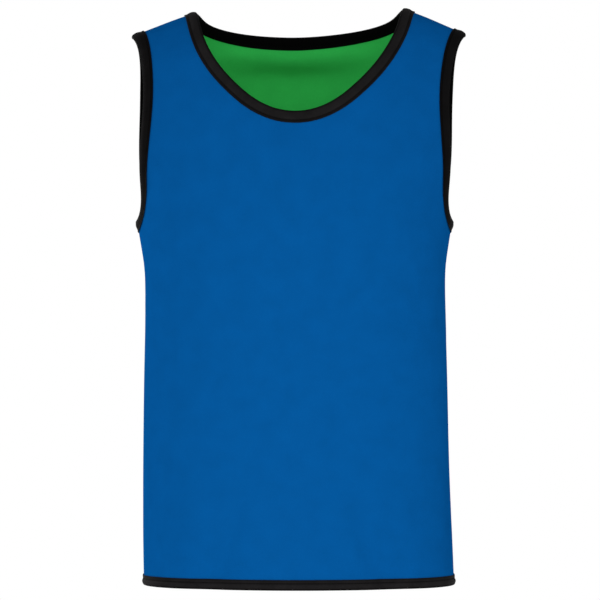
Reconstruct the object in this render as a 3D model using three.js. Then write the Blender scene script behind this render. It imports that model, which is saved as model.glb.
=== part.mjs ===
// Reversible sleeveless sports bib in its worn, hollow form: a blue outer and a green inner layer, each cut as a
// front and a back, with their raw edges held in folded black tape at the neck, the armholes and the hem.
//
// Millimetres. X runs to the right as the front is seen, Y to the back and Z up. The origin lies midway between the
// two high shoulder points, where the wearer's shoulders carry the bib. "left" and "right" are the wearer's, so the
// wearer's left is on +X.
//
// Every panel is first laid out flat in its cut, as (across, up): across from the centre line and up from the hem.
// worn() then puts a point of the cut on the worn form.

import * as THREE from 'three';

// Cut of one panel
const HALF_PANEL = 245; // centre line to side seam
const SIDE_SEAM = 431; // hem to underarm
const YOKE = 285; // underarm level to shoulder seam
const PANEL_LENGTH = SIDE_SEAM + YOKE;

// Line of the neck's edge in the cut, from the high shoulder point to the middle; drops are from the shoulder seam
const NECK = [
  { across: 126, front: 0, back: 0 },
  { across: 121, front: 42, back: 21 },
  { across: 112, front: 75, back: 39 },
  { across: 95, front: 108, back: 52 },
  { across: 74, front: 133.5, back: 61 },
  { across: 50, front: 154, back: 66.5 },
  { across: 25, front: 165.5, back: 69 },
  { across: 0, front: 169, back: 70 },
];

// Line of the armhole's edge in the cut, from the side seam to the shoulder seam; up is from the underarm
const ARMHOLE = [
  { up: 0, front: 245, back: 245 },
  { up: 8, front: 226, back: 228 },
  { up: 32, front: 210, back: 214 },
  { up: 75, front: 199, back: 205 },
  { up: 110, front: 189.5, back: 197 },
  { up: 140, front: 183, back: 191 },
  { up: 170, front: 180, back: 187.5 },
  { up: 200, front: 181.5, back: 187 },
  { up: 228, front: 185, back: 188 },
  { up: 247, front: 189, back: 190 },
  { up: 262, front: 193, back: 193 },
  { up: 285, front: 198.5, back: 198.5 },
];

// Cloth and tape
const CLOTH = 1; // one layer
const GAP = 0.3; // between neighbouring pieces
const TAPE = 1;
const TAPE_WIDTH = { neck: 11.6, armhole: 12.2, hem: 9.3 };

// Offsets from the face where the two layers meet
const LAYER_NEAR = GAP / 2;
const LAYER_FAR = LAYER_NEAR + CLOTH;
const TAPE_NEAR = LAYER_FAR + GAP;
const TAPE_FAR = TAPE_NEAR + TAPE;
const SLOT_BEYOND = 0.9; // from the cloth's edge to the bottom of the tape's fold

// Worn form
const HEM_Z = -685.5;
const UNDERARM_Z = HEM_Z + SIDE_SEAM;
const YOKE_POWER = { front: 2.4, back: 2.3 };
const YOKE_SPREAD = { start: 0, end: 0.72 }; // shares of the yoke's rise where columns widen to the ridge's

// Level sections of the torso, from the hem up: half-width, depths before and behind, and superellipse power
const SECTIONS = [
  { z: -686, width: 185, front: 111, back: 101, power: 2.3 },
  { z: -640, width: 184.5, front: 109, back: 98, power: 2.3 },
  { z: -550, width: 183, front: 106, back: 92, power: 2.35 },
  { z: -450, width: 181.5, front: 105, back: 88, power: 2.4 },
  { z: -345, width: 179, front: 106, back: 90, power: 2.4 },
  { z: -300, width: 180.5, front: 108, back: 93, power: 2.4 },
  { z: -254, width: 183.5, front: 110, back: 95, power: 2.4 },
];

// The bib hangs a little askew: its middle's place across, from the hem up
const MIDDLE = [
  { z: -686, x: -1.2 },
  { z: -620, x: -3 },
  { z: -540, x: -4.6 },
  { z: -340, x: -5.7 },
  { z: -254, x: -6.4 },
  { z: -130, x: -5 },
  { z: -60, x: -3 },
  { z: -20, x: -1 },
  { z: 15, x: 0 },
];

// Ridge of the shoulders, from the centre out
const RIDGE = [
  { x: 0, left: 10, right: 10 },
  { x: 70, left: 10.5, right: 7 },
  { x: 126, left: 0.5, right: -4 },
  { x: 200, left: -29, right: -31.5 },
  { x: 260, left: -52, right: -54 },
];

// Soft ridges (out above 0) and troughs (below 0), each along a line of the cut, with its half-width
const DRAPE = [
  { side: 'front', across: -80, up: 95, toAcross: -122, toUp: -20, halfWidth: 24, out: -5 },
  { side: 'front', across: 82, up: 95, toAcross: 124, toUp: -20, halfWidth: 24, out: -5 },
  { side: 'front', across: 0, up: 120, toAcross: 0, toUp: -20, halfWidth: 60, out: 5 },
  { side: 'back', across: -95, up: 260, toAcross: -128, toUp: -20, halfWidth: 28, out: -6 },
  { side: 'back', across: 25, up: 300, toAcross: 10, toUp: -20, halfWidth: 40, out: 5 },
  { side: 'back', across: 112, up: 220, toAcross: 140, toUp: -20, halfWidth: 28, out: -6 },
  { side: 'back', across: -75, up: 622, toAcross: 75, toUp: 622, halfWidth: 20, out: -5 },
];

// The cloth kicks out below each armhole
const UNDERARM_KICK = { out: 5.5, reach: 21 };

// Grid of a panel
const SIDE_COLUMNS = 3; // under the armhole's round bottom
const STRAP_COLUMNS = 3; // between the tapes of a strap
const NECK_COLUMNS = 6; // half of the neck's round bottom
const HEM_ROWS = 12; // hem to underarm
const YOKE_ROWS = 12; // underarm to shoulder seam
const NECK_ROWS = { front: 5, back: 2 }; // up the side of the neck
const COLUMNS = 2 * (SIDE_COLUMNS + STRAP_COLUMNS + NECK_COLUMNS);
const ROWS = HEM_ROWS + YOKE_ROWS;
const SETTLING_PASSES = 600;
const FOLD_STEPS = 4; // facets round the tape's folded edge
const SAME_POINT = 0.001; // points of the cut nearer than this are one
const LEAST_LEAN = 0.75; // least cosine between a face and the direction in which its corner is set off

const COLOURS = { outer: 0x03529b, inner: 0x1f9a3a, tape: 0x151516 };

// Smooth reading of one column of a table, whose rows rise in the key column
function readTable(rows, key, column, at) {
  const last = rows.length - 1;
  let i = 0;
  while (i < last - 1 && at > rows[i + 1][key]) i += 1;
  const slope = (a, b) => (rows[b][column] - rows[a][column]) / (rows[b][key] - rows[a][key]);
  const span = rows[i + 1][key] - rows[i][key];
  const t = THREE.MathUtils.clamp((at - rows[i][key]) / span, 0, 1);
  const from = rows[i][column];
  const to = rows[i + 1][column];
  const leaving = slope(Math.max(i - 1, 0), i + 1) * span;
  const arriving = slope(i, Math.min(i + 2, last)) * span;
  return from + leaving * t + (3 * (to - from) - 2 * leaving - arriving) * t ** 2
    + (2 * (from - to) + leaving + arriving) * t ** 3;
}

// A quarter of a superellipse, from (0, reach) to (span, 0)
class Quarter extends THREE.Curve {
  constructor(span, reach, power) {
    super();
    this.span = span;
    this.reach = reach;
    this.power = power;
  }

  getPoint(t, target = new THREE.Vector2()) {
    const angle = t * Math.PI / 2;
    const x = this.span * Math.sin(angle) ** (2 / this.power);
    const y = this.reach * Math.cos(angle) ** (2 / this.power);
    return target.set(x, y);
  }
}

// Evenly spaced points along a smooth line through points of the cut
function evenly(through, steps) {
  const line = new THREE.CatmullRomCurve3(through.map((p) => new THREE.Vector3(p.x, p.y, 0)), false, 'centripetal');
  return line.getSpacedPoints(steps).map((p) => new THREE.Vector2(p.x, p.y));
}

function armholeEdge(side, steps) {
  return evenly(ARMHOLE.map((row) => new THREE.Vector2(row[side], SIDE_SEAM + row.up)), steps);
}

// From the left high shoulder point to the right one
function neckEdge(side, steps) {
  const half = NECK.map((row) => new THREE.Vector2(row.across, PANEL_LENGTH - row[side]));
  return evenly([...half, ...half.slice(0, -1).reverse().map(mirror)], steps);
}

// Height of the drape's ridges and troughs at a point of the cut
function drapeAt(side, across, up) {
  let out = 0;
  for (const fold of DRAPE.filter((row) => row.side === side)) {
    const start = new THREE.Vector2(fold.across, fold.up);
    const run = new THREE.Vector2(fold.toAcross, fold.toUp).sub(start);
    const from = new THREE.Vector2(across, up).sub(start);
    const along = from.dot(run) / run.lengthSq();
    const aside = Math.abs(from.cross(run)) / run.length();
    const end = Math.abs(2 * THREE.MathUtils.clamp(along, 0, 1) - 1);
    const level = fold.up === fold.toUp;
    const fade = along < 0 || along > 1 ? 0 : 1 - (level ? end ** 2 : (1 - along) ** 2);
    out += fold.out * fade * Math.exp(-((aside / fold.halfWidth) ** 2));
  }
  const toUnderarm = Math.hypot(Math.abs(across) - HALF_PANEL, up - SIDE_SEAM);
  return out + UNDERARM_KICK.out * Math.exp(-((toUnderarm / UNDERARM_KICK.reach) ** 2));
}

// A point of the cut, put on the worn form
function worn(side, across, up) {
  const hand = across < 0 ? 'right' : 'left';
  const share = Math.abs(across) / HALF_PANEL;
  const level = Math.min(HEM_Z + up, UNDERARM_Z);
  const read = (column) => readTable(SECTIONS, 'z', column, level);
  const halfWidth = read('width');
  const depth = read(side);
  const onSection = new Quarter(halfWidth, depth, read('power')).getPointAt(Math.min(share, 1));
  const point = new THREE.Vector3(onSection.x, onSection.y, level);
  if (up > SIDE_SEAM) {
    const ridgeX = Math.abs(across);
    const rise = readTable(RIDGE, 'x', hand, ridgeX) - UNDERARM_Z;
    const profile = new Quarter(rise, point.y, YOKE_POWER[side]).getPointAt(Math.min((up - SIDE_SEAM) / YOKE, 1));
    const spread = THREE.MathUtils.smoothstep(profile.x / rise, YOKE_SPREAD.start, YOKE_SPREAD.end);
    point.set(THREE.MathUtils.lerp(point.x, ridgeX, spread), profile.y, UNDERARM_Z + profile.x);
  }
  const outward = new THREE.Vector3(point.x / halfWidth ** 2, point.y / depth ** 2, 0).normalize();
  point.addScaledVector(outward, drapeAt(side, across, up));
  point.x = point.x * Math.sign(across) + readTable(MIDDLE, 'z', 'x', point.z);
  point.y *= side === 'front' ? -1 : 1;
  return point;
}

// The point that lies a true width in from an edge point of the cut
function inset(side, edge, inward, width) {
  const trial = edge.clone().addScaledVector(inward, width);
  const length = worn(side, edge.x, edge.y).distanceTo(worn(side, trial.x, trial.y));
  return edge.clone().addScaledVector(inward, width * width / length);
}

// Stations along an edge of the cut, with the cloth on the left of their run, each with its edge point and the point
// under the tape's inner border
function stations(side, points, width) {
  return points.map((edge, i) => {
    const before = points[Math.max(i - 1, 0)];
    const after = points[Math.min(i + 1, points.length - 1)];
    const inward = after.clone().sub(before).normalize().rotateAround(new THREE.Vector2(), Math.PI / 2);
    if (i === 0 || i === points.length - 1) inward.copy(turnTo(inward));
    return { edge, inner: inset(side, edge, inward, width) };
  });
}

// The nearest of the four directions along the cut's axes, in which a seam runs
function turnTo(direction) {
  const flat = Math.abs(direction.x) > Math.abs(direction.y);
  return new THREE.Vector2(flat ? Math.sign(direction.x) : 0, flat ? 0 : Math.sign(direction.y));
}

const mirror = (point) => new THREE.Vector2(-point.x, point.y);
const mirrorStation = (station) => ({ edge: mirror(station.edge), inner: mirror(station.inner) });

// Points of the whole garment, shared where panels meet at a seam
const sheet = { points: [], ids: new Map() };

function pin(side, cut) {
  const onSeam = Math.abs(cut.x) > HALF_PANEL - SAME_POINT || cut.y > PANEL_LENGTH - SAME_POINT;
  const place = [cut.x, cut.y].map((value) => Math.round(value / SAME_POINT));
  const key = [onSeam ? 'seam' : side, ...place].join();
  if (!sheet.ids.has(key)) {
    sheet.ids.set(key, sheet.points.length);
    sheet.points.push(worn(side, cut.x, cut.y));
  }
  return { cut, id: sheet.ids.get(key) };
}

// One panel: its grid of columns and rows, the strips under the tapes, and the edges that the tapes hold
function layOut(side) {
  const neckRow = ROWS - NECK_ROWS[side];
  const neckSteps = NECK_ROWS[side] + NECK_COLUMNS;
  const neck = stations(side, neckEdge(side, 2 * neckSteps), TAPE_WIDTH.neck);
  const left = stations(side, armholeEdge(side, SIDE_COLUMNS + YOKE_ROWS), TAPE_WIDTH.armhole);
  const right = left.map(mirrorStation).reverse();

  const inGrid = (c, r) => {
    const fromSide = Math.min(c, COLUMNS - c);
    const fromMiddle = Math.abs(c - COLUMNS / 2);
    const besideArmhole = r <= HEM_ROWS || fromSide >= SIDE_COLUMNS;
    return besideArmhole && (r <= neckRow || fromMiddle >= NECK_COLUMNS);
  };
  const grid = Array.from({ length: COLUMNS + 1 }, () => new Array(ROWS + 1).fill(null));
  const fixed = new Set();
  const fix = (c, r, cut) => {
    grid[c][r] = cut.clone();
    fixed.add(c * (ROWS + 1) + r);
  };

  // Fixed points: the hem, its tape's border, the side seams, and the borders of the other tapes
  const sideTop = SIDE_SEAM - TAPE_WIDTH.armhole;
  for (let c = 0; c <= COLUMNS; c += 1) {
    const across = HALF_PANEL * (2 * c / COLUMNS - 1);
    for (let r = 0; r <= ROWS; r += 1) {
      const up = TAPE_WIDTH.hem + (sideTop - TAPE_WIDTH.hem) * (r - 1) / (HEM_ROWS - 1);
      if (inGrid(c, r)) grid[c][r] = new THREE.Vector2(across, Math.min(up, PANEL_LENGTH));
    }
    fix(c, 0, new THREE.Vector2(across, 0));
    fix(c, 1, grid[c][1]);
  }
  for (let r = 1; r < HEM_ROWS; r += 1) {
    fix(0, r, grid[0][r]);
    fix(COLUMNS, r, grid[COLUMNS][r]);
  }
  left.forEach(({ inner }, k) => {
    const c = Math.min(k, SIDE_COLUMNS);
    const r = HEM_ROWS + Math.max(k - SIDE_COLUMNS, 0);
    fix(COLUMNS - c, r, inner);
    fix(c, r, mirror(inner));
  });
  neck.forEach(({ inner }, k) => {
    const fromEnd = Math.min(k, neck.length - 1 - k);
    const r = Math.max(ROWS - fromEnd, neckRow);
    const c = SIDE_COLUMNS + STRAP_COLUMNS + Math.max(fromEnd - NECK_ROWS[side], 0);
    fix(k <= neckSteps ? COLUMNS - c : c, r, inner);
  });
  for (let s = 1; s < STRAP_COLUMNS; s += 1) {
    const seam = left.at(-1).inner.clone().lerp(neck[0].inner, s / STRAP_COLUMNS);
    fix(COLUMNS - SIDE_COLUMNS - s, ROWS, seam);
    fix(SIDE_COLUMNS + s, ROWS, mirror(seam));
  }

  // The other points settle midway between their neighbours
  for (let pass = 0; pass < SETTLING_PASSES; pass += 1) {
    for (let c = 1; c < COLUMNS; c += 1) {
      for (let r = 1; r < ROWS; r += 1) {
        if (!grid[c][r] || fixed.has(c * (ROWS + 1) + r)) continue;
        grid[c][r].copy(grid[c - 1][r]).add(grid[c + 1][r]).add(grid[c][r - 1]).add(grid[c][r + 1]).divideScalar(4);
      }
    }
  }

  const pinned = grid.map((column) => column.map((cut) => cut && pin(side, cut)));
  const pinStation = ({ edge, inner }) => ({ edge: pin(side, edge), inner: pin(side, inner) });
  const strips = { neck: neck.map(pinStation), left: left.map(pinStation), right: right.map(pinStation) };
  const hem = pinned.map((column) => ({ edge: column[0], inner: column[1] }));

  const quads = [];
  for (let c = 0; c < COLUMNS; c += 1) {
    for (let r = 0; r < ROWS; r += 1) {
      const corners = [pinned[c][r], pinned[c + 1][r], pinned[c + 1][r + 1], pinned[c][r + 1]];
      const middleIn = inGrid(c, r) && inGrid(c + 1, r) && inGrid(c + 1, r + 1) && inGrid(c, r + 1);
      if (middleIn) quads.push(corners);
    }
  }
  for (const strip of Object.values(strips)) {
    for (let k = 0; k + 1 < strip.length; k += 1) {
      quads.push([strip[k].inner, strip[k + 1].inner, strip[k + 1].edge, strip[k].edge]);
    }
  }
  const ends = Object.values(strips).flatMap((strip) => [[strip[0], strip[1]], [strip.at(-1), strip.at(-2)]]);
  const seams = ends.flatMap(([end, next]) => [[end.edge, next.edge], [end.inner, next.inner]]);
  for (let r = 0; r < HEM_ROWS; r += 1) {
    seams.push([pinned[0][r], pinned[1][r]], [pinned[COLUMNS][r], pinned[COLUMNS - 1][r]]);
  }
  for (let s = 1; s < STRAP_COLUMNS; s += 1) {
    for (const c of [SIDE_COLUMNS + s, COLUMNS - SIDE_COLUMNS - s]) seams.push([pinned[c][ROWS], pinned[c][ROWS - 1]]);
  }
  return {
    quads: quads.map((corners) => faceOut(side, corners)),
    seams: new Map(seams.map(([point, neighbour]) => [point.id, neighbour.id])),
    hem,
    ...strips,
  };
}

// Corner ids of a quad, anticlockwise as seen from outside the garment
function faceOut(side, corners) {
  const cuts = corners.map((corner) => corner.cut);
  const anticlockwise = THREE.ShapeUtils.area(cuts) > 0;
  const ids = corners.map((corner) => corner.id);
  return anticlockwise === (side === 'front') ? ids : ids.reverse();
}

// Two triangles of a quad, split along its shorter diagonal; at holds each corner's point of the sheet
function split([a, b, c, d], at = [a, b, c, d]) {
  const [lengthAC, lengthBD] = [[0, 2], [1, 3]].map(([i, j]) => sheet.points[at[i]].distanceTo(sheet.points[at[j]]));
  const level = Math.abs(lengthAC - lengthBD) < SAME_POINT;
  const splitAC = level ? Math.min(at[0], at[2]) < Math.min(at[1], at[3]) : lengthAC < lengthBD;
  return splitAC ? [[a, b, c], [a, c, d]] : [[b, c, d], [b, d, a]];
}

// Direction in which a layer is set off at each point of the sheet, lengthened at bends so that faces set off by it
// lie at their full distance
function sheetNormals(panels) {
  const triangles = panels.flatMap((panel) => panel.quads.flatMap((quad) => split(quad)));
  const geometry = toGeometry(sheet.points, triangles);
  const average = geometry.getAttribute('normal');
  const normals = sheet.points.map((point, i) => new THREE.Vector3().fromBufferAttribute(average, i));
  const leans = sheet.points.map(() => []);
  for (const ids of triangles) {
    const face = new THREE.Triangle(...ids.map((id) => sheet.points[id])).getNormal(new THREE.Vector3());
    for (const id of ids) leans[id].push(face.dot(normals[id]));
  }
  return normals.map((normal, i) => normal.divideScalar(Math.max(Math.min(...leans[i]), LEAST_LEAN)));
}

function toGeometry(points, triangles) {
  const geometry = new THREE.BufferGeometry().setFromPoints(points);
  geometry.setIndex(triangles.flat());
  geometry.computeVertexNormals();
  return geometry;
}

// One layer of a panel, between two offsets from the sheet
function cutLayer(panel, normals, low, high) {
  const ids = [...new Set(panel.quads.flat())];
  const place = new Map(ids.map((id, i) => [id, i]));
  const points = [high, low].flatMap((offset) => ids.map((id) => {
    const point = sheet.points[id].clone();
    if (panel.seams.has(id)) {
      const intoPanel = sheet.points[panel.seams.get(id)].clone().sub(point).normalize();
      point.addScaledVector(intoPanel, GAP / 2);
    }
    return point.addScaledVector(normals[id], offset);
  }));
  const outer = panel.quads.flatMap((quad) => split(quad)).map((corners) => corners.map((id) => place.get(id)));
  const under = (i) => i + ids.length;
  const triangles = outer.flatMap(([a, b, c]) => [[a, b, c], [under(c), under(b), under(a)]]);
  const edges = outer.flatMap(([a, b, c]) => [[a, b], [b, c], [c, a]]);
  const known = new Set(edges.map((edge) => edge.join()));
  for (const [a, b] of edges.filter(([from, to]) => !known.has([to, from].join()))) {
    triangles.push([b, a, under(a)], [b, under(a), under(b)]);
  }
  return toGeometry(points, triangles);
}

// Tape folded over an edge: both legs lie on the layers and meet in a round fold
function bind(loop, normals) {
  const rings = loop.map(({ edge, inner }) => {
    const away = sheet.points[edge.id].clone().sub(sheet.points[inner.id]).normalize();
    const corner = ({ id }, height, beyond = 0) => {
      const point = sheet.points[id].clone().addScaledVector(normals[id], height).addScaledVector(away, beyond);
      return { at: id, point };
    };
    const fold = Array.from({ length: FOLD_STEPS + 1 }, (unused, i) => {
      const angle = Math.PI * i / FOLD_STEPS;
      return corner(edge, TAPE_FAR * Math.cos(angle), TAPE_FAR * Math.sin(angle));
    });
    const slot = [corner(edge, -TAPE_NEAR, SLOT_BEYOND), corner(edge, TAPE_NEAR, SLOT_BEYOND)];
    const outerLeg = [corner(inner, TAPE_NEAR), corner(inner, TAPE_FAR)];
    const innerLeg = [corner(inner, -TAPE_FAR), corner(inner, -TAPE_NEAR)];
    return [...outerLeg, ...fold, ...innerLeg, ...slot];
  });
  const size = rings[0].length;
  const corners = rings.flat();
  const triangles = rings.flatMap((ring, k) => ring.flatMap((unused, m) => {
    const here = k * size;
    const next = (k + 1) % rings.length * size;
    const quad = [here + m, here + (m + 1) % size, next + (m + 1) % size, next + m];
    return split(quad, quad.map((i) => corners[i].at));
  }));
  return toGeometry(corners.map((corner) => corner.point), triangles);
}

const front = layOut('front');
const back = layOut('back');
const normals = sheetNormals([front, back]);

// The closed line of stations round an opening, up or across the front and back along the back
const roundLoop = (name) => [...front[name], ...back[name].slice(1, -1).reverse()];

const cloth = (colour) => new THREE.MeshStandardMaterial({ color: colour, roughness: 0.85, metalness: 0 });
const materials = Object.fromEntries(Object.entries(COLOURS).map(([name, colour]) => [name, cloth(colour)]));

function addPiece(name, geometry, material) {
  const mesh = new THREE.Mesh(geometry, material);
  mesh.name = name;
  bib.add(mesh);
}

const bib = new THREE.Group();
addPiece('front_outer', cutLayer(front, normals, LAYER_NEAR, LAYER_FAR), materials.outer);
addPiece('back_outer', cutLayer(back, normals, LAYER_NEAR, LAYER_FAR), materials.outer);
addPiece('front_inner', cutLayer(front, normals, -LAYER_FAR, -LAYER_NEAR), materials.inner);
addPiece('back_inner', cutLayer(back, normals, -LAYER_FAR, -LAYER_NEAR), materials.inner);
addPiece('neck_binding', bind(roundLoop('neck'), normals), materials.tape);
addPiece('left_armhole_binding', bind(roundLoop('left'), normals), materials.tape);
addPiece('right_armhole_binding', bind(roundLoop('right'), normals), materials.tape);
addPiece('hem_binding', bind(roundLoop('hem'), normals), materials.tape);

export default bib;
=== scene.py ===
"""Reversible sleeveless sports bib: knitted cloth, folded tape, seams and stitches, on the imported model.

Metres. X runs to the right as the front is seen, Y to the back and Z up. "Left" and "right" are the wearer's.
A place on the cloth is also given as in its cut: across from the centre line, and up from the hem.
"""

import math

import bmesh
import bpy
import numpy as np
from bpy.props import FloatProperty, FloatVectorProperty, IntProperty, PointerProperty
from mathutils import Matrix, Vector
from mathutils.bvhtree import BVHTree


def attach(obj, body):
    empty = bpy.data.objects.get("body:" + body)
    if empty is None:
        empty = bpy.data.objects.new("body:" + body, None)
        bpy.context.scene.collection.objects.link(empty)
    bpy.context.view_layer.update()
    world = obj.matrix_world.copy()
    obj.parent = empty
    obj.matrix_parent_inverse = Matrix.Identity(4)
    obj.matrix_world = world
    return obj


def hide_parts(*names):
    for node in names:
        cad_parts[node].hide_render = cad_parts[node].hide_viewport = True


bl_info = {
    "name": "Reversible sports bib",
    "version": (1, 0, 0),
    "blender": (4, 5, 0),
    "location": "3D View > Sidebar > Bib",
    "description": "Cloth, tape, seams and stitches of a reversible sleeveless sports bib",
    "category": "Add Mesh",
}

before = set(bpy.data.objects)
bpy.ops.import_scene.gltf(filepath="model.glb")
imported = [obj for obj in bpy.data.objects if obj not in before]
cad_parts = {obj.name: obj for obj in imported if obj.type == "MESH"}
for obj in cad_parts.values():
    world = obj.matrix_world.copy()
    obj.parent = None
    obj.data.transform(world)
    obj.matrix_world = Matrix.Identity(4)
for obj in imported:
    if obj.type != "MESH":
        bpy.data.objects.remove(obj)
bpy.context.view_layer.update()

# Cut of one panel
PANEL_WIDTH = 0.490
PANEL_LENGTH = 0.716
HALF_PANEL = PANEL_WIDTH / 2
SIDE_SEAM = 0.431
YOKE = PANEL_LENGTH - SIDE_SEAM
FRONT_AREA = 0.289
BACK_AREA = 0.310

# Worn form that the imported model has
HEM_Z = -0.6855
UNDERARM_Z = HEM_Z + SIDE_SEAM
SECTION_WIDTH = 0.182
SECTION_DEPTH = {"front": 0.107, "back": 0.094}
SECTION_POWER = 2.35
YOKE_POWER = 2.35
YOKE_SPREAD_END = 0.72
RIDGE_X = (0.0, 0.070, 0.126, 0.200, 0.260)
RIDGE_Z = (0.010, 0.0087, -0.0018, -0.030, -0.053)
MIDDLE_Z = (-0.686, -0.620, -0.540, -0.340, -0.254, -0.130, -0.060, -0.020, 0.015)
MIDDLE_X = (-0.0012, -0.0030, -0.0046, -0.0057, -0.0064, -0.0050, -0.0030, -0.0010, 0.0)

# Tape: flat width (two legs and the fold round 2.9 mm of cloth) and length (the raw edge of the cut that it
# binds), how far its stitches lie in from its border, and a factor on its black that paints light and shade
# (painted shade darkens the armhole tapes, painted light brightens the hem tape)
TAPES = {
    "neck_binding": {"flat": (0.0293, 0.783), "inset": 0.0024, "shade": 1.0},
    "left_armhole_binding": {"flat": (0.0305, 0.611), "inset": 0.0024, "shade": 0.40},
    "right_armhole_binding": {"flat": (0.0305, 0.611), "inset": 0.0024, "shade": 0.40},
    "hem_binding": {"flat": (0.0247, 0.980), "inset": 0.0036, "shade": 1.1},
}
RING = 11  # points round a tape's section
BORDER_WIDTH = 0.0015  # a tape's edge faces are narrower than this
FOLD_FACET = 0.0024  # and the facets of its round fold than this
FOLD_MIDDLE = 7  # point at the middle of the fold, once the legs are cut lengthwise
STITCH_LINES = (2, 12)  # and points under the stitches of each leg
STITCH_SWAY = 0.10
SWAY_TURN = 2.4  # radians of sway from one stitch to the next
STITCH_LIFT = 0.12  # share of the thread's thickness that a stitch's middle lies above the tape
STITCH_SEGMENTS = 6
STITCH_RINGS = 4
LINE_STEPS = 16  # fine steps between two points of a stitch line
BATCH = 24  # stitches made at a time
CROWN = 0.0006  # height of a tape's soft middle
GROOVE = 0.00045  # depth to which stitches draw the tape
INNER_LEG_PAINTED_SHADE = 0.06  # painted shade: the tape's inner leg and the edge of its fold are darkened to stand for the shade they lie in
BORDER_PAINTED_SHADE = 0.62  # painted shade: the tape's border is darkened to stand for the shade at its edge
SEAM_LINE_PAINTED_SHADE = 0.55  # painted shade: the line that its stitches draw in is darkened to stand for the shade of that groove
INNER_LEG_PAINTED_SHADE_SPAN = (-0.0046, -0.0012)  # across the strip, where that painted shade of the inner leg gives way
BORDER_PAINTED_SHADE_SPAN = (0.0028, 0.0006)  # in from the border, where the border's painted shade gives way
SEAM_LINE_PAINTED_SHADE_SPAN = (0.0004, 0.0014)  # either way from the stitches, where the groove's painted shade fades
CROWN_PLACES = ((0.0, -GROOVE), (0.36, CROWN), (0.74, CROWN))  # share of the way from seam to fold, and height
PANELS = {
    "front_outer": {"side": "front", "slot": "outer_cloth", "area": FRONT_AREA},
    "back_outer": {"side": "back", "slot": "outer_cloth", "area": BACK_AREA},
    "front_inner": {"side": "front", "slot": "inner_cloth", "area": FRONT_AREA},
    "back_inner": {"side": "back", "slot": "inner_cloth", "area": BACK_AREA},
}

# Creases that lie in the cloth beside the main drape, each along a line of the cut: side, from (across, up),
# to (across, up), half-widths on the line's left and right, height out (below 0 a trough), and bow to the left
CREASES = (
    ("front", (0.222, 0.408), (0.120, 0.318), (0.010, 0.015), -0.0024, 0.010),
    ("front", (0.228, 0.372), (0.150, 0.262), (0.015, 0.018), -0.0018, 0.012),
    ("front", (-0.219, 0.411), (-0.128, 0.330), (0.015, 0.011), -0.0021, -0.009),
    ("front", (-0.228, 0.362), (-0.158, 0.238), (0.016, 0.014), -0.0019, -0.013),
    ("front", (0.232, 0.300), (0.216, 0.030), (0.016, 0.011), -0.0037, 0.006),
    ("front", (-0.233, 0.330), (-0.219, 0.060), (0.012, 0.017), -0.0040, -0.005),
    ("front", (0.158, 0.700), (0.149, 0.598), (0.012, 0.010), -0.0014, 0.004),
    ("front", (-0.161, 0.702), (-0.155, 0.612), (0.010, 0.012), -0.0015, -0.003),
    ("front", (-0.068, 0.110), (-0.112, -0.010), (0.010, 0.014), -0.0020, 0.008),
    ("front", (0.071, 0.104), (0.113, -0.010), (0.014, 0.010), -0.0020, -0.007),
    ("back", (-0.125, 0.609), (0.122, 0.607), (0.013, 0.0135), -0.0064, 0.004),
    ("back", (-0.118, 0.579), (0.118, 0.578), (0.0135, 0.022), 0.0060, 0.004),
    ("back", (0.216, 0.424), (0.070, 0.350), (0.011, 0.018), -0.0065, 0.012),
    ("back", (0.202, 0.478), (0.040, 0.444), (0.010, 0.015), -0.0047, 0.009),
    ("back", (-0.219, 0.418), (-0.090, 0.330), (0.017, 0.011), -0.0060, -0.013),
    ("back", (-0.196, 0.502), (-0.052, 0.462), (0.014, 0.010), -0.0042, -0.008),
    ("back", (0.233, 0.330), (0.204, 0.014), (0.017, 0.011), -0.0071, 0.010),
    ("back", (0.180, 0.270), (0.176, -0.010), (0.015, 0.013), 0.0034, 0.006),
    ("back", (-0.231, 0.300), (-0.212, 0.004), (0.011, 0.016), -0.0065, -0.009),
    ("back", (-0.060, 0.306), (0.086, 0.270), (0.019, 0.011), -0.0056, 0.010),
    ("back", (0.050, 0.238), (-0.092, 0.210), (0.011, 0.017), -0.0045, -0.009),
    ("back", (-0.030, 0.170), (-0.052, -0.010), (0.014, 0.012), -0.0043, 0.007),
    ("back", (0.156, 0.704), (0.140, 0.600), (0.012, 0.010), -0.0021, 0.004),
    ("back", (-0.158, 0.702), (-0.146, 0.588), (0.010, 0.013), -0.0020, -0.004),
)
CREASE_LEAN = 0.8  # below 1 a crease is highest before its middle
CREASE_FULLNESS = 0.9  # below 1 it keeps its height nearer to its ends
SEAM_DIP = 0.0009
SEAM_HALF_WIDTH = 0.0042
SEAM_HOLD = 0.013  # creases die out this near a seam
SEAM_CLOSING = 0.0002  # each panel's edge moves this far to meet its neighbour's at the seams, in y = 0
SEAM_CLOSING_WIDTH = 0.0012

# Meshes
SECTION_STEPS = 400
MERGE_DISTANCE = 0.00005
JOIN_ANGLE = math.radians(40)
JOIN_SHAPE_ANGLE = math.radians(60)
SHARP_ANGLE = math.radians(60)  # edges of a panel that turn by more stay sharp
PANEL_ROUNDS = 3
TAPE_LEVELS = 2
TAPE_ROUNDS = 1

# Patterns: noise scales in turns to the metre, what part of a noise is used, and relief in metres
DYE_SCALE = 38.0
GIVE_SCALE = 26.0
KNIT_FIBRE_SCALE = 420.0
SLUB_SCALE = 55.0
TAPE_FIBRE_SCALE = 700.0
TWIST_SCALE = 2600.0
GRAIN_SCALE = 3.0
NOISE_SPAN = (0.3, 0.7)
FIBRE_SPAN = (0.25, 0.75)
GIVE_RELIEF = 0.0016
FUZZ_RELIEF = 0.0003
LOOP_RELIEF = 0.00012
SLUB_RELIEF = 0.0006
WEAVE_RELIEF = 0.00015
TWIST_RELIEF = 0.0001
LOOP_BEND = 0.35  # share of a course that each loop's sides rise by
PICK_SHARE = 0.8  # pitch of the tape's picks against its ribs

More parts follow.
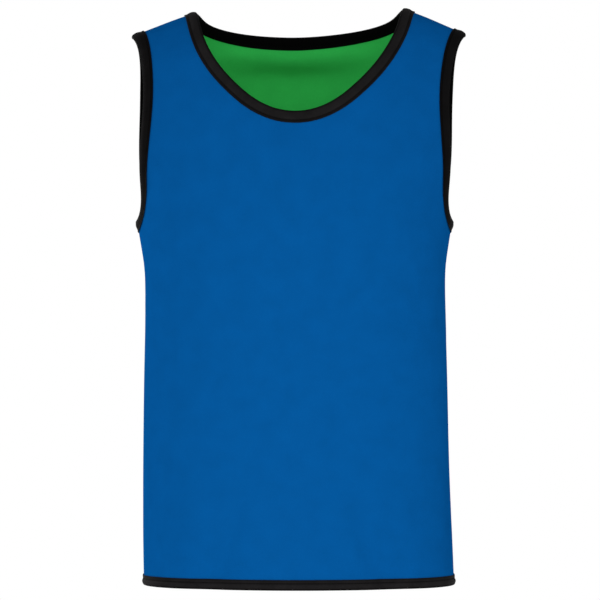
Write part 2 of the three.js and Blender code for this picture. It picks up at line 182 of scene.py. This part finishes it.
# Studio: the sky is white near the horizon and greyer above and below
FLOOR_Z = -1.1
FLOOR_RADIUS = 5.2
FLOOR_SIDES = 96
SKY_SPAN = (0.12, 0.62)
SKY_GLOW = (1.0, 0.45)
LIGHTS = (  # name, place, aim, width, height, watts
    ("front_light", (0.0, -3.1, 0.40), (0.0, 0.0, -0.30), 1.8, 1.0, 16.5),
    ("left_light", (2.8, -1.6, 0.10), (0.0, 0.0, -0.35), 0.8, 1.2, 7.0),
    ("right_light", (-2.8, -1.6, 0.10), (0.0, 0.0, -0.35), 0.8, 1.2, 6.0),
    ("low_light", (0.0, -1.3, -0.72), (0.0, -0.1, -0.60), 1.2, 0.2, 5.5),
    ("back_light", (-2.9, 1.9, 0.60), (0.0, 0.05, -0.35), 0.7, 0.7, 48.0),
)

# Camera that sees what the photograph shows
CAMERA_PLACE = (0.0, -5.0, -0.347)
CAMERA_LENS = 250
CAMERA_SENSOR = 36
CAMERA_REACH = 60


class BibSizes(bpy.types.PropertyGroup):
    wale: FloatProperty(
        name="Knit wale", description="Width of one column of knit stitches",
        default=0.0011, unit="LENGTH", precision=5)
    course: FloatProperty(
        name="Knit course", description="Height of one row of knit stitches",
        default=0.0008, unit="LENGTH", precision=5)
    rib: FloatProperty(
        name="Tape rib", description="Pitch of the fine ribs across the tape",
        default=0.0009, unit="LENGTH", precision=5)
    stitch_pitch: FloatProperty(
        name="Stitch pitch", description="From one stitch to the next",
        default=0.0040, unit="LENGTH", precision=5)
    stitch_length: FloatProperty(
        name="Stitch length", description="Length of thread that shows in one stitch",
        default=0.0029, unit="LENGTH", precision=5)
    thread: FloatProperty(
        name="Thread", description="Thickness of the sewing thread",
        default=0.0007, unit="LENGTH", precision=5)
    crease_share: FloatProperty(
        name="Creases", description="Share of the creases' full height", default=1.0, min=0.0, max=1.5)
    smoothing: IntProperty(
        name="Smoothing", description="Times that each mesh of cloth is divided",
        default=3, min=1, max=3)


class BibColours(bpy.types.PropertyGroup):
    outer: FloatVectorProperty(
        name="Outer cloth", description="Colour of the outer knit",
        subtype="COLOR", default=(0.0012, 0.0740, 0.261))
    inner: FloatVectorProperty(
        name="Inner cloth", description="Colour of the inner knit",
        subtype="COLOR", default=(0.031, 0.462, 0.081))
    tape: FloatVectorProperty(
        name="Tape", description="Colour of the binding tape",
        subtype="COLOR", default=(0.0095, 0.0088, 0.0092))
    thread: FloatVectorProperty(
        name="Thread", description="Colour of the sewing thread",
        subtype="COLOR", default=(0.0014, 0.0013, 0.0014))
    floor: FloatVectorProperty(
        name="Floor", description="Colour of the studio floor",
        subtype="COLOR", default=(0.93, 0.93, 0.92))


# ---------------------------------------------------------------- places on the cloth

def quarter(power):
    """Angles of a quarter of the torso's section, the share of its length up to each, and its depth there."""
    angle = np.linspace(0, math.pi / 2, SECTION_STEPS)
    x = SECTION_WIDTH * np.sin(angle) ** (2 / power)
    y = SECTION_DEPTH["front"] * np.cos(angle) ** (2 / power)
    length = np.concatenate([[0], np.cumsum(np.hypot(np.diff(x), np.diff(y)))])
    return angle, length / length[-1], y / SECTION_DEPTH["front"]


def cut_places(points):
    """Side, across, up and outward direction for points of the worn form, as arrays."""
    x = points[:, 0] - np.interp(points[:, 2], MIDDLE_Z, MIDDLE_X)
    y, z = points[:, 1], points[:, 2]
    depth = np.where(y < 0, SECTION_DEPTH["front"], SECTION_DEPTH["back"])
    rise = np.interp(np.abs(x), RIDGE_X, RIDGE_Z) - UNDERARM_Z
    height = np.clip((z - UNDERARM_Z) / rise, 0, 0.9999)
    level = np.abs(y) / (1 - height ** YOKE_POWER) ** (1 / YOKE_POWER)
    half = SECTION_POWER / 2
    angle, share, reach = quarter(SECTION_POWER)
    turn = np.arctan2((np.abs(x) / SECTION_WIDTH) ** half, (level / depth) ** half)
    spread = np.clip(height / YOKE_SPREAD_END, 0, 1)
    spread = spread * spread * (3 - 2 * spread)
    across = (1 - spread) * HALF_PANEL * np.interp(turn, angle, share) + spread * np.abs(x)
    foot = depth * np.interp(across / HALF_PANEL, share, reach)
    lift = np.arctan2(height ** half, (np.abs(y) / np.maximum(foot, 0.01)) ** half)
    above = YOKE * np.interp(lift, angle, share)
    up = np.where(z < UNDERARM_Z, z - HEM_Z, SIDE_SEAM + above)
    climb = np.maximum(z - UNDERARM_Z, 0) / rise ** 2
    outward = np.stack([x * (1 - spread) / SECTION_WIDTH ** 2, y / depth ** 2, climb], 1)
    outward /= np.linalg.norm(outward, axis=1)[:, None]
    return y < 0, across * np.sign(x), up, outward


def crease_heights(front, across, up):
    """Height of the creases at places of the cut."""
    height = np.zeros(len(across))
    place = np.stack([across, up], 1)
    for side, start, end, half_widths, out, bow in CREASES:
        run = np.subtract(end, start)
        length = np.linalg.norm(run)
        along = np.clip((place - start) @ run / length ** 2, 0, 1)
        aside = (place - start) @ np.array([-run[1], run[0]]) / length - bow * np.sin(math.pi * along)
        fade = np.sin(math.pi * along ** CREASE_LEAN) ** CREASE_FULLNESS
        half_width = np.where(aside > 0, *half_widths)
        on_side = front if side == "front" else ~front
        height += np.where(on_side, out * fade * np.exp(-(aside / half_width) ** 2), 0)
    to_side = np.where(up < SIDE_SEAM, HALF_PANEL - np.abs(across), PANEL_LENGTH)
    to_seam = np.minimum(to_side, PANEL_LENGTH - up)
    held = 1 - np.exp(-(to_seam / SEAM_HOLD) ** 2)
    return height * held - SEAM_DIP * np.exp(-(to_seam / SEAM_HALF_WIDTH) ** 2)


def crease(points, share):
    """Points of any layer, moved by the creases."""
    front, across, up, outward = cut_places(points)
    return points + outward * (crease_heights(front, across, up) * share)[:, None]


# ---------------------------------------------------------------- meshes

def read_points(mesh):
    flat = np.empty(len(mesh.vertices) * 3)
    mesh.vertices.foreach_get("co", flat)
    return flat.reshape(-1, 3)


def write_points(mesh, points):
    mesh.vertices.foreach_set("co", points.ravel())
    mesh.update()


def merged_copy(node):
    """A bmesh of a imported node, with its loose triangles merged and joined to four-sided faces."""
    bm = bmesh.new()
    bm.from_mesh(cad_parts[node].data)
    bmesh.ops.remove_doubles(bm, verts=bm.verts, dist=MERGE_DISTANCE)
    bmesh.ops.join_triangles(
        bm, faces=bm.faces, angle_face_threshold=JOIN_ANGLE, angle_shape_threshold=JOIN_SHAPE_ANGLE)
    bm.verts.index_update()
    bm.verts.ensure_lookup_table()
    return bm


def new_object(name, bm):
    mesh = bpy.data.meshes.new(name)
    bm.to_mesh(mesh)
    bm.free()
    obj = bpy.data.objects.new(name, mesh)
    bpy.context.scene.collection.objects.link(obj)
    return obj


def divided(obj):
    """The object's mesh as its modifiers leave it."""
    bpy.context.view_layer.update()
    graph = bpy.context.evaluated_depsgraph_get()
    return bpy.data.meshes.new_from_object(obj.evaluated_get(graph))


def smooth_through(obj, levels, rounds):
    """Divides a mesh smoothly, its own points staying the closer to their places the more rounds it has."""
    smoother = obj.modifiers.new("Smooth", "SUBSURF")
    smoother.levels = smoother.render_levels = 1
    start = read_points(obj.data)
    control = start.copy()
    for _ in range(rounds):
        settled = divided(obj)
        control += start - read_points(settled)[: len(start)]
        bpy.data.meshes.remove(settled)
        write_points(obj.data, control)
    smoother.levels = smoother.render_levels = levels
    smooth = divided(obj)
    obj.modifiers.clear()
    flat = obj.data
    obj.data = smooth
    bpy.data.meshes.remove(flat)
    smooth.polygons.foreach_set("use_smooth", [True] * len(smooth.polygons))


# ---------------------------------------------------------------- materials

def add(tree, kind, inputs=None, **settings):
    node = tree.nodes.new(kind)
    for key, value in settings.items():
        setattr(node, key, value)
    for key, value in (inputs or {}).items():
        if isinstance(value, bpy.types.NodeSocket):
            tree.links.new(value, node.inputs[key])
        else:
            node.inputs[key].default_value = value
    return node


def maths(tree, operation, first, second=0.0):
    return add(tree, "ShaderNodeMath", {0: first, 1: second}, operation=operation).outputs[0]


def wave(tree, coordinate, pitch):
    """A sine along a coordinate, from 0 to 1."""
    turned = maths(tree, "SINE", maths(tree, "MULTIPLY", coordinate, 2 * math.pi / pitch))
    return maths(tree, "MULTIPLY_ADD", turned, 0.5)


def remap(tree, value, span, onto, **settings):
    """A value carried from one span onto another."""
    inputs = {"Value": value, 1: span[0], 2: span[1], 3: onto[0], 4: onto[1]}
    return add(tree, "ShaderNodeMapRange", inputs, **settings).outputs[0]


def noise(tree, place, scale, detail, roughness):
    inputs = {"Vector": place, "Scale": scale, "Detail": detail, "Roughness": roughness}
    return add(tree, "ShaderNodeTexNoise", inputs).outputs[0]


def bumped(tree, height, strength, distance, **under):
    """The normal that a relief gives, over another relief's where one is given."""
    inputs = {"Height": height, "Strength": strength, "Distance": distance, **under}
    return add(tree, "ShaderNodeBump", inputs).outputs[0]


def tinted(tree, colour, value):
    return add(tree, "ShaderNodeHueSaturation", {"Value": value, "Color": shade(colour, 1)}).outputs[0]


def new_material(name, roughness, sheen, sheen_roughness, specular):
    material = bpy.data.materials.new(name)
    material.use_nodes = True
    shader = material.node_tree.nodes["Principled BSDF"]
    shader.inputs["Roughness"].default_value = roughness
    shader.inputs["Sheen Weight"].default_value = sheen
    shader.inputs["Sheen Roughness"].default_value = sheen_roughness
    shader.inputs["Specular IOR Level"].default_value = specular
    return material, material.node_tree, shader


def shade(colour, factor):
    return tuple(min(channel * factor, 1) for channel in colour[:3]) + (1,)


def knit_material(name, colour, sizes):
    """Smooth-faced polyester knit: fine loops, a faint uneven dye, and a low matte sheen."""
    material, tree, shader = new_material(name, 0.82, 0.06, 0.5, 0.0)
    shader.inputs["Sheen Tint"].default_value = shade(colour, 2.5)
    place = add(tree, "ShaderNodeUVMap", uv_map="cut").outputs[0]
    split = add(tree, "ShaderNodeSeparateXYZ", {0: place})
    column = maths(tree, "SINE", maths(tree, "MULTIPLY", split.outputs[0], 2 * math.pi / sizes.wale))
    bent = maths(tree, "MULTIPLY_ADD", maths(tree, "ABSOLUTE", column), LOOP_BEND * sizes.course)
    tree.links.new(split.outputs[1], bent.node.inputs[2])
    row = maths(tree, "SINE", maths(tree, "MULTIPLY", bent, 2 * math.pi / sizes.course))
    loops = maths(tree, "ADD", maths(tree, "MULTIPLY", column, 0.6), maths(tree, "MULTIPLY", row, 0.4))

    dye = noise(tree, place, DYE_SCALE, 3.0, 0.55)
    fibre = noise(tree, place, KNIT_FIBRE_SCALE, 4.0, 0.7)
    blotch = remap(tree, dye, NOISE_SPAN, (0.955, 1.045))
    speck = remap(tree, fibre, FIBRE_SPAN, (0.95, 1.05))
    relief = remap(tree, loops, (-1.0, 1.0), (0.94, 1.05))
    value = maths(tree, "MULTIPLY", maths(tree, "MULTIPLY", blotch, speck), relief)
    tree.links.new(tinted(tree, colour, value), shader.inputs["Base Color"])

    gloss = remap(tree, fibre, FIBRE_SPAN, (0.76, 0.90))
    tree.links.new(gloss, shader.inputs["Roughness"])
    give = bumped(tree, noise(tree, place, GIVE_SCALE, 2.0, 0.5), 0.5, GIVE_RELIEF)
    fuzz = bumped(tree, fibre, 0.25, FUZZ_RELIEF, Normal=give)
    tree.links.new(bumped(tree, loops, 0.35, LOOP_RELIEF, Normal=fuzz), shader.inputs["Normal"])
    return material


def tape_material(name, colour, border, inset, sizes):
    """Matte black folded tape: fine ribs across it, uneven threads, and painted shade on its inner leg, borders
    and seam lines.
    """
    material, tree, shader = new_material(name, 0.75, 0.015, 0.4, 0.02)
    place = add(tree, "ShaderNodeUVMap", uv_map="strip").outputs[0]
    split = add(tree, "ShaderNodeSeparateXYZ", {0: place})
    across = split.outputs[1]
    ribs = wave(tree, split.outputs[0], sizes.rib)
    picks = wave(tree, across, sizes.rib * PICK_SHARE)
    weave = maths(tree, "ADD", maths(tree, "MULTIPLY", ribs, 0.7), maths(tree, "MULTIPLY", picks, 0.3))
    slub = noise(tree, place, SLUB_SCALE, 3.0, 0.6)
    fibre = noise(tree, place, TAPE_FIBRE_SCALE, 3.0, 0.7)
    blotch = remap(tree, slub, NOISE_SPAN, (0.8, 1.2))
    relief = remap(tree, weave, (0.0, 1.0), (0.8, 1.2))
    # painted shade over the inner leg and the edge of its fold
    face = remap(tree, across, INNER_LEG_PAINTED_SHADE_SPAN, (1.0, INNER_LEG_PAINTED_SHADE))
    # painted shade along the tape's border
    painted_border_span = tuple(border + inwards for inwards in BORDER_PAINTED_SHADE_SPAN)
    painted_border_shade = remap(tree, across, painted_border_span, (1.0, BORDER_PAINTED_SHADE))
    # painted shade along the line that the stitches draw in
    from_seam = maths(tree, "ABSOLUTE", maths(tree, "SUBTRACT", across, border + inset))
    seam = remap(tree, from_seam, SEAM_LINE_PAINTED_SHADE_SPAN, (SEAM_LINE_PAINTED_SHADE, 1.0))
    painted_shades = maths(tree, "MULTIPLY", maths(tree, "MULTIPLY", face, painted_border_shade), seam)
    value = maths(tree, "MULTIPLY", maths(tree, "MULTIPLY", blotch, relief), painted_shades)
    tree.links.new(tinted(tree, colour, value), shader.inputs["Base Color"])

    gloss = remap(tree, fibre, FIBRE_SPAN, (0.66, 0.86))
    tree.links.new(gloss, shader.inputs["Roughness"])
    give = bumped(tree, slub, 0.4, SLUB_RELIEF)
    tree.links.new(bumped(tree, weave, 0.5, WEAVE_RELIEF, Normal=give), shader.inputs["Normal"])
    return material


def thread_material(name, colour):
    """Black polyester sewing thread, with the fine unevenness of its twist."""
    material, tree, shader = new_material(name, 0.7, 0.0, 0.4, 0.04)
    place = add(tree, "ShaderNodeTexCoord").outputs["Object"]
    twist = noise(tree, place, TWIST_SCALE, 2.0, 0.6)
    value = remap(tree, twist, NOISE_SPAN, (0.7, 1.4))
    tree.links.new(tinted(tree, colour, value), shader.inputs["Base Color"])
    tree.links.new(bumped(tree, twist, 0.4, TWIST_RELIEF), shader.inputs["Normal"])
    return material


def floor_material(colour):
    """Pale matte paint with a faint grain."""
    material, tree, shader = new_material("studio_floor", 0.9, 0.0, 0.5, 0.2)
    place = add(tree, "ShaderNodeTexCoord").outputs["Object"]
    grain = noise(tree, place, GRAIN_SCALE, 2.0, 0.5)
    value = remap(tree, grain, NOISE_SPAN, (0.985, 1.01))
    tree.links.new(tinted(tree, colour, value), shader.inputs["Base Color"])
    return material


# ---------------------------------------------------------------- panels

def make_panel(node, material, sizes):
    """One panel of one layer, creased, with its cut as its map."""
    panel = PANELS[node]
    bm = merged_copy(node)
    sharp = bm.edges.layers.float.new("crease_edge")
    for edge in bm.edges:
        if edge.calc_face_angle(0) > SHARP_ANGLE:
            edge[sharp] = 1
    obj = new_object(f"{node}_cloth", bm)
    smooth_through(obj, sizes.smoothing, PANEL_ROUNDS)
    _, across, up, _ = cut_places(read_points(obj.data))
    points = crease(read_points(obj.data), sizes.crease_share)
    towards = 1 if panel["side"] == "front" else -1
    points[:, 1] += towards * SEAM_CLOSING * np.exp(-(points[:, 1] / SEAM_CLOSING_WIDTH) ** 2)
    write_points(obj.data, points)
    corners = np.empty(len(obj.data.loops), dtype=np.int64)
    obj.data.loops.foreach_get("vertex_index", corners)
    layer = obj.data.uv_layers.new(name="cut")
    layer.data.foreach_set("uv", np.stack([across, up], 1)[corners].ravel())
    obj.data.materials.clear()
    obj.data.materials.append(material)
    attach(obj, "root")
    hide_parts(node)


# ---------------------------------------------------------------- tape and stitches

def straight_on(vert, edge):
    """The edge that runs on through a four-armed point."""
    beside = set(edge.link_faces)
    return next(other for other in vert.link_edges if not beside & set(other.link_faces))


def walk(vert, onto):
    """Points of the closed line of edges that starts at a point and goes on to its neighbour."""
    line = [vert]
    edge = next(e for e in vert.link_edges if e.other_vert(vert) == onto)
    while onto != line[0]:
        line.append(onto)
        edge = straight_on(onto, edge)
        onto = edge.other_vert(onto)
    return line


def neighbours(vert):
    return [edge.other_vert(vert) for edge in vert.link_edges]


def sections(bm, start, beside, size):
    """The tape's sections in their order round the opening, each from the line that the start lies on."""
    onto = next(v for v in neighbours(start) if len(walk(start, v)) != size)
    first = walk(start, beside)
    ahead = walk(start, onto)
    rings = [first]
    for vert in ahead[1:]:
        last = rings[-1]
        beside = next(v for v in neighbours(vert) if v not in last and v in neighbours(last[1]))
        rings.append(walk(vert, beside))
    return rings


def outer_first(rings):
    """How far out on the garment the first border of all the sections lies, against their middles."""
    places = places_of(rings)
    centres = places.mean(axis=1)
    return ((places[:, 1] - centres) * cut_places(centres)[3]).sum()


def tape_sections(bm):
    """Sections of a packed tape, each from the near side of the outer leg's border, across its border first."""
    start = bm.verts[0]
    ring = next(line for line in (walk(start, v) for v in neighbours(start)) if len(line) == RING)
    found = []
    for line in (ring, ring[::-1]):
        for turn in range(RING):
            border, far, fold, beyond = (line[(turn + i) % RING] for i in range(4))
            at_border = (border.co - far.co).length < BORDER_WIDTH < (far.co - fold.co).length
            if at_border and (fold.co - beyond.co).length < FOLD_FACET:
                found.append(sections(bm, border, far, RING))
    if len(found) != 2:
        raise RuntimeError("a tape needs two borders")
    return max(found, key=outer_first)


def places_of(rings):
    return np.array([[vert.co for vert in ring] for ring in rings])


def crown(bm, rings, inset):
    """Cuts both legs of a tape lengthwise, crowns them, and sinks the lines that their stitches hold down."""
    rungs = {edge for ring in rings for a, b in ((1, 2), (6, 7)) for edge in ring[a].link_edges
             if edge.other_vert(ring[a]) == ring[b]}
    first = [vert.co.copy() for vert in rings[0][:2]]
    bmesh.ops.subdivide_edges(bm, edges=list(rungs), cuts=3, use_grid_fill=False)
    start, beside = (min(bm.verts, key=lambda vert: (vert.co - place).length) for place in first)
    rings = sections(bm, start, beside, RING + 6)
    for ring in rings:
        for border, fold, opposite in ((1, 5, 13), (13, 9, 1)):
            start, run = ring[border].co.copy(), ring[fold].co - ring[border].co
            out = (start - ring[opposite].co).normalized()
            step = 1 if fold > border else -1
            sewn = inset / run.length
            for i, (share, height) in enumerate(CROWN_PLACES):
                ring[border + step * (i + 1)].co = start + run * (sewn + (1 - sewn) * share) + out * height
    return rings


def lay_strip(bm, rings):
    """Gives a tape its map, along it and across from the middle of its fold; returns where its border is."""
    places = places_of(rings)
    lengths = np.linalg.norm(np.roll(places, -1, 0) - places, axis=2).mean(axis=1)
    widths = np.linalg.norm(np.roll(places, -1, 1) - places, axis=2).mean(axis=0)
    along = np.concatenate([[0], np.cumsum(lengths)])
    across = np.concatenate([[0], np.cumsum(widths)])
    across -= across[FOLD_MIDDLE]
    stations, size = places.shape[:2]
    spots = {vert: (k, m) for k, ring in enumerate(rings) for m, vert in enumerate(ring)}
    layer = bm.loops.layers.uv.new("strip")
    for face in bm.faces:
        here = [spots[loop.vert] for loop in face.loops]
        over_start = max(k for k, _ in here) - min(k for k, _ in here) > 1
        over_border = max(m for _, m in here) - min(m for _, m in here) > 1
        for loop, (k, m) in zip(face.loops, here):
            row = stations if over_start and k == 0 else k
            column = size if over_border and m == 0 else m
            loop[layer].uv = (along[row], across[column])
    return across[1]


def make_tape(node, colour, sizes):
    """One folded tape, and the lines on its two legs that its stitches follow."""
    tape = TAPES[node]
    bm = merged_copy(node)
    rings = crown(bm, tape_sections(bm), tape["inset"])
    border = lay_strip(bm, rings)
    bm.verts.index_update()
    stitch_lines = [places_of(rings)[:, m] for m in STITCH_LINES]
    obj = new_object(f"{node}_tape", bm)
    smooth_through(obj, TAPE_LEVELS, TAPE_ROUNDS)
    write_points(obj.data, crease(read_points(obj.data), sizes.crease_share))
    obj.data.materials.clear()
    # painted light and shade: each tape's colour is scaled for how much light falls on it
    painted_light_colour = shade(colour, tape["shade"])
    obj.data.materials.append(tape_material(f"{node}_tape", painted_light_colour, border, tape["inset"], sizes))
    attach(obj, "root")
    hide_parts(node)
    return obj, stitch_lines


def closed_line(points, pitch):
    """Evenly spaced points and directions along a smooth closed line."""
    before, after, last = np.roll(points, 1, 0), np.roll(points, -1, 0), np.roll(points, -2, 0)
    t = np.linspace(0, 1, LINE_STEPS, endpoint=False)[:, None, None]
    fine = 0.5 * (2 * points + (after - before) * t + (2 * before - 5 * points + 4 * after - last) * t ** 2
                  + (3 * points - before - 3 * after + last) * t ** 3)
    fine = fine.transpose(1, 0, 2).reshape(-1, 3)
    steps = np.linalg.norm(np.roll(fine, -1, 0) - fine, axis=1)
    length = np.concatenate([[0], np.cumsum(steps)])
    count = round(length[-1] / pitch)
    at = np.arange(count) * length[-1] / count
    closed = np.vstack([fine, fine[:1]])
    spaced = np.stack([np.interp(at, length, closed[:, i]) for i in range(3)], 1)
    return spaced, np.roll(spaced, -1, 0) - np.roll(spaced, 1, 0)


def make_stitches(node, tape, lines, material, sizes):
    """Rows of stitches on both legs of a tape."""
    tree = BVHTree.FromPolygons(
        [v.co for v in tape.data.vertices], [p.vertices[:] for p in tape.data.polygons])
    row, part = bmesh.new(), bmesh.new()
    batch = bpy.data.meshes.new("batch")
    size = Matrix.Diagonal((sizes.stitch_length / 2, sizes.thread / 2, sizes.thread / 2, 1))
    for line in lines:
        spaced, directions = closed_line(crease(line, sizes.crease_share), sizes.stitch_pitch)
        for k, (place, direction) in enumerate(zip(spaced, directions)):
            spot, normal, _, _ = tree.find_nearest(Vector(place))
            ahead = Vector(direction)
            ahead = (ahead - normal * ahead.dot(normal)).normalized()
            ahead = (ahead + normal.cross(ahead) * STITCH_SWAY * math.sin(SWAY_TURN * k)).normalized()
            turn = Matrix((ahead, normal.cross(ahead), normal)).transposed().to_4x4()
            where = Matrix.Translation(spot + normal * sizes.thread * STITCH_LIFT)
            bmesh.ops.create_uvsphere(
                part, u_segments=STITCH_SEGMENTS, v_segments=STITCH_RINGS, radius=1, matrix=where @ turn @ size)
            if k % BATCH == 0 or k == len(spaced) - 1:
                part.to_mesh(batch)
                row.from_mesh(batch)
                part.clear()
    part.free()
    bpy.data.meshes.remove(batch)
    for face in row.faces:
        face.smooth = True
    obj = new_object(f"{node}_stitches", row)
    obj.data.materials.append(material)
    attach(obj, "root")
    return obj


# ---------------------------------------------------------------- operators

class BIB_OT_outer_cloth(bpy.types.Operator):
    """Makes the front and the back of the outer layer"""
    bl_idname = "bib.outer_cloth"
    bl_label = "Outer cloth"

    def execute(self, context):
        sizes, colours = context.scene.bib_sizes, context.scene.bib_colours
        material = knit_material("outer_knit", colours.outer, sizes)
        for node in ("front_outer", "back_outer"):
            make_panel(node, material, sizes)
        return {"FINISHED"}


class BIB_OT_inner_cloth(bpy.types.Operator):
    """Makes the front and the back of the inner layer"""
    bl_idname = "bib.inner_cloth"
    bl_label = "Inner cloth"

    def execute(self, context):
        sizes, colours = context.scene.bib_sizes, context.scene.bib_colours
        material = knit_material("inner_knit", colours.inner, sizes)
        for node in ("front_inner", "back_inner"):
            make_panel(node, material, sizes)
        return {"FINISHED"}


class BIB_OT_bindings(bpy.types.Operator):
    """Makes the folded tapes of the neck, the armholes and the hem, with their rows of stitches"""
    bl_idname = "bib.bindings"
    bl_label = "Bindings and stitches"

    def execute(self, context):
        sizes, colours = context.scene.bib_sizes, context.scene.bib_colours
        thread_finish = thread_material("sewing_thread", colours.thread)
        for node, tape in TAPES.items():
            strip, lines = make_tape(node, colours.tape, sizes)
            stitches = make_stitches(node, strip, lines, thread_finish, sizes)
        return {"FINISHED"}


class BIB_OT_studio(bpy.types.Operator):
    """Makes the pale floor, the soft light and the camera"""
    bl_idname = "bib.studio"
    bl_label = "Studio"

    def execute(self, context):
        scene = context.scene
        bm = bmesh.new()
        level = Matrix.Translation((0, 0, FLOOR_Z))
        bmesh.ops.create_circle(bm, cap_ends=True, segments=FLOOR_SIDES, radius=FLOOR_RADIUS, matrix=level)
        floor = new_object("studio_floor", bm)
        floor.data.materials.append(floor_material(scene.bib_colours.floor))

        world = bpy.data.worlds.new("studio")
        world.use_nodes = True
        tree = world.node_tree
        sky = add(tree, "ShaderNodeSeparateXYZ", {0: add(tree, "ShaderNodeTexCoord").outputs["Generated"]})
        height = maths(tree, "ABSOLUTE", sky.outputs[2])
        glow = remap(tree, height, SKY_SPAN, SKY_GLOW, interpolation_type="SMOOTHSTEP")
        tree.nodes["Background"].inputs[0].default_value = (1, 1, 1, 1)
        tree.links.new(glow, tree.nodes["Background"].inputs[1])
        scene.world = world

        for light in LIGHTS:
            soft_light(*light)
        scene.view_settings.view_transform = "Standard"

        camera = bpy.data.objects.new("camera", bpy.data.cameras.new("camera"))
        camera.location = CAMERA_PLACE
        camera.rotation_euler = (math.radians(90), 0, 0)
        camera.data.lens = CAMERA_LENS
        camera.data.sensor_width = CAMERA_SENSOR
        camera.data.clip_end = CAMERA_REACH
        scene.collection.objects.link(camera)
        scene.camera = camera
        return {"FINISHED"}


def soft_light(name, place, aim, width, height, power):
    data = bpy.data.lights.new(name, "AREA")
    data.shape = "RECTANGLE"
    data.size, data.size_y = width, height
    data.energy = power
    light = bpy.data.objects.new(name, data)
    light.location = place
    light.rotation_euler = (Vector(aim) - Vector(place)).to_track_quat("-Z", "Y").to_euler()
    bpy.context.scene.collection.objects.link(light)


class BIB_PT_panel(bpy.types.Panel):
    """Lists the bib's pieces, sizes and colours"""
    bl_idname = "BIB_PT_panel"
    bl_label = "Sports bib"
    bl_space_type = "VIEW_3D"
    bl_region_type = "UI"
    bl_category = "Bib"

    def draw(self, context):
        for group in (context.scene.bib_sizes, context.scene.bib_colours):
            for key in group.__annotations__:
                self.layout.prop(group, key)
        for operator in OPERATORS:
            self.layout.operator(operator.bl_idname)


OPERATORS = (BIB_OT_outer_cloth, BIB_OT_inner_cloth, BIB_OT_bindings, BIB_OT_studio)
CLASSES = (BibSizes, BibColours, *OPERATORS, BIB_PT_panel)


def register():
    for item in CLASSES:
        bpy.utils.register_class(item)
    bpy.types.Scene.bib_sizes = PointerProperty(type=BibSizes)
    bpy.types.Scene.bib_colours = PointerProperty(type=BibColours)


def unregister():
    del bpy.types.Scene.bib_colours
    del bpy.types.Scene.bib_sizes
    for item in reversed(CLASSES):
        bpy.utils.unregister_class(item)


def main():
    register()
    bpy.ops.bib.outer_cloth()
    bpy.ops.bib.inner_cloth()
    bpy.ops.bib.bindings()
    bpy.ops.bib.studio()


if __name__ == "__main__":
    main()
